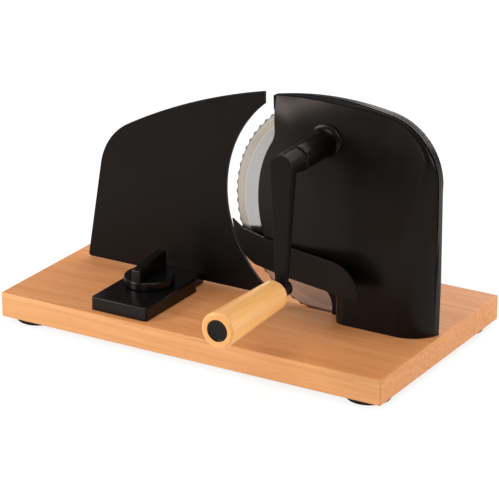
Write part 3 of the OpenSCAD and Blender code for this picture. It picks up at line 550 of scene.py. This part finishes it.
def corners_of(bm, keep):
    """The mesh's outward corners that a test keeps."""
    return [edge for edge in bm.edges
            if len(edge.link_faces) == 2 and edge.calc_face_angle_signed() > SHARP and keep(edge)]


def linked(name, data):
    """A new object of some data, in the scene."""
    made = bpy.data.objects.new(name, data)
    bpy.context.scene.collection.objects.link(made)
    return made


def finish_piece(name, bm, node, replaces=True, even=True):
    """Makes an object of a mesh, in the finish and on the body of the CAD node that it stands for."""
    bmesh.ops.recalc_face_normals(bm, faces=bm.faces)
    for face in bm.faces:
        face.smooth = True
    for edge in bm.edges:
        edge.smooth = len(edge.link_faces) == 2 and edge.calc_face_angle() < SHARP
    mesh = bpy.data.meshes.new(name)
    bm.to_mesh(mesh)
    bm.free()
    made = linked(name, mesh)
    mesh.materials.append(finishes[slot_of[node]])
    if even:
        facing = made.modifiers.new("even_facing", "WEIGHTED_NORMAL")
        facing.keep_sharp = True
    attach(made, body_of[node])
    if replaces:
        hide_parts(node)
    return made


# Board and feet
def make_board():
    """The board with eased outer edges, its slot and screw holes kept."""
    def outer(edge):
        """Whether an edge is one of the block's own twelve."""
        on = 0
        for axis in range(3):
            for wall in (BOARD_LOW, BOARD_HIGH):
                on += all(abs(v.co[axis] - wall[axis]) < NEAR for v in edge.verts)
        return on == 2

    bm = copy_of("base_board")
    eased(bm, corners_of(bm, outer), BOARD_EASE)
    finish_piece("board", bm, "base_board")


def make_feet():
    """Four round feet with a soft lower edge and a sunk hole for the screw."""
    bm = bmesh.new()
    top = FEET_HIGH.z
    shelf = top - FOOT_SHELF
    outline = rounded([(FOOT_SINK_R, 0, FOOT_SINK_EASE), (FOOT_R, 0, FOOT_EASE),
                       (FOOT_R - FOOT_TAPER, top, 0), (FOOT_BORE_R, top, 0),
                       (FOOT_BORE_R, shelf, 0), (FOOT_SINK_R, shelf, 0)])
    half_x = (FEET_HIGH.x - FEET_LOW.x) / 2 - FOOT_R
    half_y = FEET_HIGH.y - FOOT_R
    for side in (-1, 1):
        for end in (-1, 1):
            turned(bm, outline, Vector((side * half_x, end * half_y, 0)), "Z", steps=64)
    finish_piece("feet", bm, "rubber_feet")


# Housing
def eased_step(value, start, end):
    """0 before the start, 1 past the end and a smooth rise between them."""
    share = min(max((value - start) / (end - start), 0), 1)
    return share * share * (3 - 2 * share)


def roll(radius, reach):
    """How far a face has rolled back at a reach past the start of a roll."""
    reach = min(max(reach, 0), radius)
    return radius - math.sqrt(radius ** 2 - reach ** 2)


# The upper right corner's centre, and the cover's foot at the right, where the side roll meets the seam
CORNER_X = HOUSING_RIGHT - CORNER_R
CORNER = Vector((CORNER_X, CREST[1] + math.sqrt((CREST_R - CORNER_R) ** 2 - (CORNER_X - CREST[0]) ** 2)))
SIDE_REACH = math.sqrt(SIDE_ROLL_R ** 2 - (SIDE_ROLL_R - (SEAM - LIP_WALL - COVER_FRONT)) ** 2)
SIDE_FOOT_X = SIDE_ROLL_X - SIDE_ROLL_R + SIDE_REACH


def left_outline():
    """The cover's outline in X and Z up the leg, round the chin and nose and up to the crest."""
    left = BLADE.x - COVER_TIP
    tip = right_outline()[0]
    foot = BLADE.x + LEG_LEFT
    turn = math.radians(CHIN_TURN)
    chin = NOSE - (NOSE_R - CHIN_R) * Vector((math.cos(turn), math.sin(turn)))
    neck_x = left - NECK_R
    neck = Vector((neck_x, NOSE[1] + math.sqrt((NOSE_R + NECK_R) ** 2 - (NOSE[0] - neck_x) ** 2)))
    hollow_x = foot - LEG_FILLET
    hollow_drop = math.sqrt((CHIN_R + LEG_FILLET) ** 2 - (hollow_x - chin[0]) ** 2)
    hollow = Vector((hollow_x, chin[1] - hollow_drop))
    return ([Vector((foot, BOARD_TOP))]
            + arc(hollow, LEG_FILLET, 0, heading(hollow, chin), 8)
            + arc(chin, CHIN_R, heading(chin, hollow), CHIN_TURN - 180, 16)[1:]
            + arc(NOSE, NOSE_R, 180 + CHIN_TURN, heading(NOSE, neck), 28)[1:]
            + arc(neck, NECK_R, heading(neck, NOSE), 0, 8)[1:]
            + [Vector((left, neck[1])).lerp(tip, step / 8) for step in range(1, 8)])


def right_outline():
    """The rest of the outline: over the crest, round the corner and down the right side to the board."""
    tip_turn = math.degrees(math.acos((BLADE.x - COVER_TIP - TIP_LEAN - CREST[0]) / TIP_CREST_R))
    side_z = BOARD_TOP + (HOUSING_RIGHT - SIDE_FOOT_X) / math.tan(SIDE_TILT)
    return (arc(TIP_CREST, TIP_CREST_R, tip_turn, 90, 20)
            + arc(CREST, CREST_R, 90, heading(CREST, CORNER), 24)[1:]
            + arc(CORNER, CORNER_R, heading(CREST, CORNER), 0, 28)[1:]
            + [Vector((HOUSING_RIGHT, side_z)), Vector((SIDE_FOOT_X, BOARD_TOP))])


def cover_outline():
    """The whole outline, with points along its straight stretches too."""
    corners = left_outline() + right_outline()
    points = []
    for start, end in zip(corners, corners[1:] + corners[:1]):
        parts = max(1, int((end - start).length / COVER_GRID))
        points += [start.lerp(end, step / parts) for step in range(parts)]
    return points


LEFT_EDGE = np.array(left_outline() + right_outline()[:1])


def edge_distance(x, z):
    """How far a point lies inside the left part of the outline."""
    start, way = LEFT_EDGE[:-1], np.diff(LEFT_EDGE, axis=0)
    off = np.array((x, z)) - start
    share = np.clip((off * way).sum(1) / (way * way).sum(1), 0, 1)
    gaps = np.hypot(*(off - share[:, None] * way).T)
    near = gaps.argmin()
    inside = way[near, 0] * off[near, 1] < way[near, 1] * off[near, 0]
    return gaps[near] if inside else -gaps[near]


def rim_distance(x, z):
    """How far a point lies inside the crest, the upper right corner or the right side."""
    spot = Vector((x, z))
    way = CORNER - CREST
    if x < CREST[0]:
        return TIP_CREST_R - (spot - TIP_CREST).length
    if way.x * (z - CREST[1]) > way.y * (x - CREST[0]):
        return CREST_R - (spot - CREST).length
    if z > CORNER[1]:
        return CORNER_R - (spot - CORNER).length
    return HOUSING_RIGHT - x


def groove(z):
    """Width of the groove at the seam, which dies out low down."""
    return SEAM_GAP * eased_step(z, *GROOVE_RISE)


def groove_back(x, z):
    """Place along Y of the groove's far side: the seam, or a band before it round the upper right."""
    band = BAND * eased_step(x, *BAND_RISE) * eased_step(z, *GROOVE_RISE)
    return SEAM - max(band, BAND_LEAST)


def broad_face(x, z):
    """Place along Y of the cover's front at a point, where its broad rolls blend into each other."""
    up = (x - BLADE.x) * math.sin(CREST_TILT) + (z - CREST_ROLL_Z) * math.cos(CREST_TILT)
    right = (x - SIDE_ROLL_X) * math.cos(SIDE_TILT) - (z - BOARD_TOP) * math.sin(SIDE_TILT) + SIDE_ROLL_R
    drops = (roll(CREST_ROLL_R, up), roll(NOSE_ROLL_R, BLADE.x - x), roll(SIDE_ROLL_R, right))
    return COVER_FRONT + sum((drop / MM) ** 3 for drop in drops) ** (1 / 3) * MM


def cover_face(x, z):
    """Place along Y of the cover's whole front at a point.

    It has the brow under its crest, its rim rolled to the groove and its other edges rounded.
    """
    lip = groove_back(x, z) - LIP_WALL - groove(z)
    inside = rim_distance(x, z)
    face = min(broad_face(x, z), lip)
    share = 1 - eased_step(x, BLADE.x - COVER_TIP, BLADE.x + BROW_END)
    face += share * max(lip - BROW_WALL - face, 0) * min(max(1 - inside / BROW, 0), 1) ** 3
    rim_width = TIP_RIM + (CORNER_RIM - TIP_RIM) * eased_step(x, BLADE.x - COVER_TIP, CORNER_X)
    rim = (lip - face) * roll(1, 1 - inside / rim_width)
    edge_r = EDGE_R + (LEG_EDGE_R - EDGE_R) * eased_step(z, *LEG_EDGE_RISE)
    edge = roll(edge_r, edge_r - edge_distance(x, z))
    return min(face + max(rim, edge), lip)


def cover_normal(x, z):
    """Where the cover's front faces at a point."""
    lean = (cover_face(x + LEAN_STEP, z) - cover_face(x - LEAN_STEP, z)) / (2 * LEAN_STEP)
    tip = (cover_face(x, z + LEAN_STEP) - cover_face(x, z - LEAN_STEP)) / (2 * LEAN_STEP)
    return Vector((lean, -1, tip)).normalized()


def make_cover():
    """The cover: a face of rings and a grid, pushed back along its rolls, with walls to a groove at the seam.

    The grid is cut inside the rings, which are marked for that. The face's shading follows its rolls
    exactly.
    """
    bm = bmesh.new()
    face = face_across(bm, cover_outline(), 0)
    face.normal_update()
    for step in COVER_RINGS:
        for ring in bmesh.ops.inset_region(bm, faces=[face], thickness=step, use_even_offset=True,
                                           use_boundary=True)["faces"]:
            ring.material_index = 1
    for axis, low, high in ((0, BLADE.x - NOSE_R, HOUSING_RIGHT), (2, BOARD_TOP, HOUSING_TOP)):
        normal = Vector((axis == 0, 0, axis == 2))
        for step in range(1, int((high - low) / COVER_GRID) + 1):
            place = low + step * COVER_GRID
            cut = [f for f in bm.faces if f.material_index == 0]
            geom = cut + list({e for f in cut for e in f.edges}) + list({v for f in cut for v in f.verts})
            bmesh.ops.bisect_plane(bm, geom=geom, dist=NEAR, plane_co=normal * place, plane_no=normal)
    for vert in bm.verts:
        vert.co.y = cover_face(vert.co.x, vert.co.z)
    for face in bm.faces:
        face.material_index = 0
    front = len(bm.faces)
    wall = bmesh.ops.extrude_edge_only(bm, edges=[edge for edge in bm.edges if edge.is_boundary])["geom"]
    for vert in only(wall, BMVert):
        vert.co.y = groove_back(vert.co.x, vert.co.z) - groove(vert.co.z)
    cap = capped(bm, wall)
    bmesh.ops.inset_region(bm, faces=cap, thickness=GROOVE_DEPTH, use_even_offset=True)
    neck = bmesh.ops.extrude_discrete_faces(bm, faces=cap)["faces"]
    for vert in neck[0].verts:
        vert.co.y = SEAM
    made = finish_piece("housing_cover_shell", bm, "housing_cover", even=False)
    facing = [cover_normal(v.co.x, v.co.z) for v in made.data.vertices]
    normals = [facing[v] if face.index < front else (0, 0, 0)
               for face in made.data.polygons for v in face.vertices]
    made.data.normals_split_custom_set(normals)


def make_band():
    """The cover's side behind the groove, flush with the back plate."""
    bm = bmesh.new()
    rear = face_across(bm, left_outline() + right_outline(), SEAM)
    wall = bmesh.ops.extrude_edge_only(bm, edges=list(rear.edges))["geom"]
    front = capped(bm, wall)
    bmesh.ops.inset_region(bm, faces=front, thickness=BAND_WALL, use_even_offset=True)
    inner = set(front[0].verts)
    for vert in bm.verts:
        if vert in inner:
            vert.co.y = SEAM - BAND_LEAST
        elif vert not in rear.verts:
            vert.co.y = groove_back(vert.co.x, vert.co.z)
    finish_piece("housing_cover_band", bm, "housing_cover", replaces=False)


def make_boss():
    """The fixed boss of the crank, flared where it rises out of the cover."""
    bm = bmesh.new()
    front = COVER_LOW.y
    base = broad_face(CRANK.x, CRANK.z) + BOSS_SINK
    root = base + BOSS_ROOT
    outline = rounded([(BOSS_BORE_R, front, 0), (BOSS_R, front, BOSS_EASE),
                       (BOSS_R, base - 2 * BOSS_FLARE, 0)])
    outline += arc((BOSS_R + BOSS_FLARE, base - BOSS_FLARE), BOSS_FLARE, 180, 90, 10)
    outline += [Vector((BOSS_R + BOSS_FLARE, root)), Vector((BOSS_BORE_R, root))]
    turned(bm, outline, CRANK, "Y")
    finish_piece("crank_boss", bm, "housing_cover", replaces=False)


def make_back():
    """The back plate with its recess.

    Its tip is cut back over the blade, its right foot is further out and its long edges are eased.
    """
    bm = copy_of("housing_back")
    left = BLADE.x - BACK_TIP
    tip = [v.co.z for v in bm.verts if v.co.x < left + BACK_ZONE]
    upper, lower = (max(tip) - drop for drop in BACK_CUT)
    for level in (upper, lower):
        bmesh.ops.bisect_plane(bm, geom=bm.verts[:] + bm.edges[:] + bm.faces[:], dist=NEAR,
                               plane_co=(0, 0, level), plane_no=(0, 0, 1))
    for vert in bm.verts:
        if BACK_CUT_LOW < vert.co.z < lower + NEAR:
            vert.co.x = max(vert.co.x, left + BACK_CUT_DEPTH)
        if vert.co.z < BOARD_TOP + BACK_ZONE and vert.co.x > HOUSING_RIGHT - SIDE_FOOT_W:
            vert.co.x += SIDE_STEP

    def free(edge):
        """Whether an edge is long and not where the cover's side roll runs on into the plate."""
        middle = middle_of(edge)
        return edge.calc_length() > LONG_EDGE and (middle.x < CORNER_X or middle.z > SIDE_BLEND_TOP)

    eased(bm, corners_of(bm, free), BACK_EASE, 2)
    finish_piece("housing_back_plate", bm, "housing_back")


# Crank and handle
def make_arm():
    """The arm: straight flanks from the hub's round to a narrow neck, thinner towards the handle."""
    bm = bmesh.new()
    front = HUB_LOW.y
    length = CRANK.z - HANDLE.z
    lean = math.degrees(math.asin((HUB_R - ARM_NECK_R) / length))
    outline = arc((CRANK.x, CRANK.z), HUB_R, -lean, 180 + lean, 32)
    outline += [Vector((CRANK.x - ARM_NECK_R, HANDLE.z)), Vector((CRANK.x + ARM_NECK_R, HANDLE.z))]
    verts, rim = grown_from(bm, face_across(bm, outline, front))
    for vert in verts:
        down = min(max((CRANK.z - HUB_R - vert.co.z) / (length - HUB_R), 0), 1)
        vert.co.y = front + ARM_T + (ARM_NECK_T - ARM_T) * down
    eased(bm, rim, ARM_EASE)
    finish_piece("crank_arm_blade", bm, "crank_arm")


def make_hub():
    """The hub behind the arm and the short boss that holds the handle's spindle."""
    bm = bmesh.new()
    front = HUB_LOW.y
    start = front + HUB_SINK
    hub_r = HUB_R - HUB_PLAY
    outline = rounded([(0, start, 0), (hub_r, start, 0), (hub_r, HUB_HIGH.y, HUB_EASE), (0, HUB_HIGH.y, 0)])
    turned(bm, outline, CRANK, "Y")
    finish_piece("crank_hub", bm, "crank_arm", replaces=False)
    bm = bmesh.new()
    end = front + ARM_TIP_LEN
    outline = rounded([(0, front, 0), (ARM_TIP_R, front, ARM_TIP_EASE),
                       (ARM_TIP_R, end, HUB_EASE), (0, end, 0)])
    turned(bm, outline, HANDLE, "Y", steps=48)
    finish_piece("handle_boss", bm, "crank_arm", replaces=False)


def make_grip():
    """The turned wooden grip with rounded ends, and the plug in its free end."""
    free, inner = GRIP_LOW.y, GRIP_HIGH.y
    bore_end = free + PLUG_BORE
    bm = bmesh.new()
    outline = rounded([(SPINDLE_R, inner, 0), (GRIP_R_IN, inner, GRIP_ROUND), (GRIP_R_OUT, free, GRIP_ROUND),
                       (PLUG_R, free, PLUG_BORE_EASE), (PLUG_R, bore_end, 0), (SPINDLE_R, bore_end, 0)], 8)
    turned(bm, outline, HANDLE, "Y")
    finish_piece("wooden_grip", bm, "handle_grip")
    bm = bmesh.new()
    rim = PLUG_R - PLUG_PLAY
    outline = rounded([(0, free + PLUG_DISH, 0), (rim - PLUG_RIM_FOOT, free + PLUG_STEP, PLUG_STEP_EASE),
                       (rim - PLUG_RIM_TOP, free, PLUG_STEP_EASE), (rim, free, PLUG_EASE),
                       (rim, PLUG_HIGH.y, 0), (0, PLUG_HIGH.y, 0)])
    turned(bm, outline, HANDLE, "Y", steps=64)
    finish_piece("grip_end_plug", bm, "grip_plug")


# Blade
def make_blade():
    """The round blade: flat back, ground bevel towards the crank side and scallops along the edge."""
    bm = bmesh.new()
    front, back = BLADE_LOW.y, BLADE_HIGH.y
    edge = back - BLADE_EDGE
    slope = (back - front - BLADE_EDGE) / BLADE_BEVEL
    outline = [Vector(p) for p in (
        (BLADE_BORE_R, back), (BLADE_R - BLADE_LAND, back), (BLADE_R, back), (BLADE_R, edge),
        (BLADE_R - BLADE_LAND, edge - slope * BLADE_LAND), (BLADE_R - BLADE_BEVEL, front),
        (BLADE_BORE_R, front))]
    turned(bm, outline, BLADE, "Y", steps=BLADE_TEETH * TOOTH_STEPS)
    for vert in bm.verts:
        out = Vector((vert.co.x - BLADE.x, vert.co.z - BLADE.z))
        if out.length > BLADE_R - BLADE_LAND / 2:
            place = math.atan2(out.y, out.x) / math.tau * BLADE_TEETH % 1
            out *= 1 - TOOTH_DEPTH / BLADE_R * math.sin(math.pi * place)
            vert.co.x = BLADE.x + out.x
            vert.co.z = BLADE.z + out.y
    finish_piece("round_blade", bm, "blade")


# Stop plate, gauge and deflector
def make_sheets():
    """The stop plate with two rounded corners, the slice deflector and the slide.

    Their outer edges are eased.
    """
    def outer(edge):
        """Whether an edge is long or at a rounded corner of the stop plate, not round a screw hole."""
        spot = edge.verts[0].co
        return edge.calc_length() > LONG_EDGE or spot.z > PLATE_TIP_LOW or spot.x < PLATE_FOOT_RIGHT

    def at_foot(spot):
        """Whether a point is at the stop plate's lower left corner."""
        return spot.x - PLATE_LOW.x < NEAR and spot.z - PLATE_LOW.z < NEAR

    def at_tip(spot):
        """Whether a point is at the stop plate's top."""
        return PLATE_HIGH.z - spot.z < NEAR

    for name, node, width in (("stop_plate_sheet", "stop_plate", PLATE_EASE),
                              ("deflector_sheet", "slice_deflector", DEFLECTOR_EASE),
                              ("plate_tongue", "plate_slide", SLIDE_EASE)):
        bm = copy_of(node)
        if node == "stop_plate":
            eased(bm, [edge for edge in bm.edges if both_ends(edge, at_foot)], PLATE_FOOT_R, 6)
            eased(bm, [edge for edge in bm.edges if both_ends(edge, at_tip)], PLATE_TIP_R, 4)
        eased(bm, corners_of(bm, outer), width, 2)
        finish_piece(name, bm, node)


def make_block():
    """The gauge block with a rounded top edge."""
    def on_top(spot):
        """Whether a point is on the block's top."""
        return abs(spot.z - BLOCK_HIGH.z) < NEAR

    def upper(edge):
        """Whether an edge runs along the top, away from the knob's bore."""
        middle = middle_of(edge)
        far = Vector((middle.x - KNOB.x, middle.y - KNOB.y)).length > 2 * STEM_R
        return far and both_ends(edge, on_top)

    bm = copy_of("gauge_block")
    eased(bm, corners_of(bm, upper), BLOCK_EASE, 4)
    finish_piece("gauge_body", bm, "gauge_block")


def make_knob():
    """The knob: a disc on a stem and a bar across it that rises to the back."""
    base = BLOCK_HIGH.z + KNOB_LIFT
    top = base + KNOB_H
    bm = bmesh.new()
    outline = rounded([(0, STEM_LOW.z, 0), (STEM_NECK_R, STEM_LOW.z, 0), (STEM_NECK_R, SLIDE_HIGH.z, 0),
                       (STEM_R, SLIDE_HIGH.z, 0), (STEM_R, base, 0), (KNOB_R, base, KNOB_LOW_EASE),
                       (KNOB_R, top, KNOB_TOP_EASE), (0, top, 0)])
    turned(bm, outline, KNOB, "Z")
    finish_piece("knob_disc", bm, "gauge_knob")
    bm = bmesh.new()
    front, back = KNOB.y - BAR_LEN / 2, KNOB.y + BAR_LEN / 2
    foot = top - BAR_SINK
    rise = (KNOB_HIGH.z - top - BAR_FRONT_H) / (BAR_LEN - 2 * BAR_EASE)
    side = rounded([(front, foot, 0), (front, top + BAR_FRONT_H - BAR_EASE * rise, BAR_EASE),
                    (back - BAR_EASE, KNOB_HIGH.z, BAR_EASE),
                    (back, KNOB_HIGH.z - BAR_EASE, BAR_EASE / 2), (back, foot, 0)])
    face = bm.faces.new([bm.verts.new((KNOB.x - BAR_W / 2, p[0], p[1])) for p in side])
    verts, rim = grown_from(bm, face)
    bmesh.ops.translate(bm, vec=(BAR_W, 0, 0), verts=verts)
    eased(bm, [edge for edge in rim if max(v.co.z for v in edge.verts) > top], BAR_EDGE)
    finish_piece("knob_bar", bm, "gauge_knob", replaces=False)


for make in (make_board, make_feet, make_cover, make_band, make_boss, make_back, make_arm, make_hub,
             make_grip, make_blade, make_sheets, make_block, make_knob):
    make()

# Stage, light and camera
FLOOR_LIFT = 0.75
FLOOR_SIZE = 12
FLOOR_CENTRE = (0.4, 1.1, 0)
FLOOR_FADE = (1.6, 2.1)
FLOOR_GLOW = 1.1
AMBIENT = 0.28
WHITE = linear("#ffffff")
CAMERA_LENS = 195.2
CAMERA_SENSOR = 36
CAMERA_END = 20
CAMERA_AIM = Vector((0.0002, 0, 0.0669))
CAMERA_WAY = Vector((0.4781, -0.8017, 0.3590))
CAMERA_REACH = 2.276

# Name, place, target, width, height and watts of each soft box
SOFTBOXES = (
    ("left_softbox", (-1.52, -1.52, 0.75), (0, 0, 0.15), 0.7, 1.1, 40),
    ("front_softbox", (0.25, -2.4, 0.6), (0, 0, 0.1), 0.5, 0.4, 8),
    ("right_softbox", (1.9, 0.8, 0.5), (0, 0, 0.1), 1.0, 0.8, 22),
    ("back_softbox", (0.2, 2.0, 1.0), (0, 0, 0.1), 2.2, 0.6, 20),
    ("top_softbox", (0.1, 0.0, 2.4), (0, 0, 0), 1.6, 1.6, 28),
)


def seen_rays(tree):
    """1 for rays that show the background, straight, in a gloss or through glass, and 0 for its light."""
    path = add(tree, "LightPath").outputs
    both = add(tree, "Math", {0: path["Is Camera Ray"], 1: path["Is Glossy Ray"]}, operation="ADD")
    return add(tree, "Math", {0: both.outputs[0], 1: path["Is Transmission Ray"]}, operation="ADD",
               use_clamp=True).outputs[0]


def make_stage():
    """A white floor that keeps the part's shadow and fades far from it into a dim grey world."""
    bm = bmesh.new()
    bmesh.ops.create_grid(bm, x_segments=1, y_segments=1, size=FLOOR_SIZE / 2)
    mesh = bpy.data.meshes.new("floor")
    bm.to_mesh(mesh)
    bm.free()
    floor = linked("floor", mesh)
    material = bpy.data.materials.new("white_paper")
    material.use_nodes = True
    tree = material.node_tree
    tree.nodes.clear()
    share = add(tree, "Math", {0: seen_rays(tree), 1: FLOOR_LIFT}, operation="MULTIPLY")
    paper = add(tree, "BsdfDiffuse", {"Color": linear("#f6f6f6")})
    white = add(tree, "Emission", {"Color": WHITE, "Strength": FLOOR_GLOW})
    both = add(tree, "MixShader", {0: share.outputs[0], 1: paper.outputs[0], 2: white.outputs[0]})
    place = add(tree, "TexCoord").outputs["Object"]
    reach = add(tree, "VectorMath", {0: place, 1: FLOOR_CENTRE}, operation="DISTANCE").outputs["Value"]
    far = add(tree, "MapRange", {"Value": reach, "From Min": FLOOR_FADE[0], "From Max": FLOOR_FADE[1]},
              interpolation_type="SMOOTHSTEP")
    grey = add(tree, "Emission", {"Color": WHITE, "Strength": AMBIENT})
    whole = add(tree, "MixShader", {0: far.outputs[0], 1: both.outputs[0], 2: grey.outputs[0]})
    add(tree, "OutputMaterial", {"Surface": whole.outputs[0]})
    mesh.materials.append(material)

    world = bpy.data.worlds.new("studio")
    bpy.context.scene.world = world
    world.use_nodes = True
    tree = world.node_tree
    tree.nodes.clear()
    sky = add(tree, "Background", {"Color": WHITE, "Strength": AMBIENT})
    add(tree, "OutputWorld", {"Surface": sky.outputs[0]})


def add_lamp(name, place, target, width, height, watts):
    """A soft box at a place, facing a target."""
    lamp = bpy.data.lights.new(name, "AREA")
    lamp.shape = "RECTANGLE"
    lamp.size = width
    lamp.size_y = height
    lamp.energy = watts
    made = linked(name, lamp)
    made.location = place
    made.rotation_euler = (Vector(target) - Vector(place)).to_track_quat("-Z", "Y").to_euler()


def add_camera():
    """The photograph's camera: a long lens, above the right of the crank side."""
    camera = bpy.data.cameras.new("camera")
    camera.lens = CAMERA_LENS
    camera.sensor_width = CAMERA_SENSOR
    camera.clip_end = CAMERA_END
    made = linked("camera", camera)
    made.location = CAMERA_AIM + CAMERA_REACH * CAMERA_WAY
    made.rotation_euler = (CAMERA_AIM - made.location).to_track_quat("-Z", "Y").to_euler()
    bpy.context.scene.camera = made


make_stage()
for row in SOFTBOXES:
    add_lamp(*row)
add_camera()
bpy.context.scene.view_settings.view_transform = "Standard"
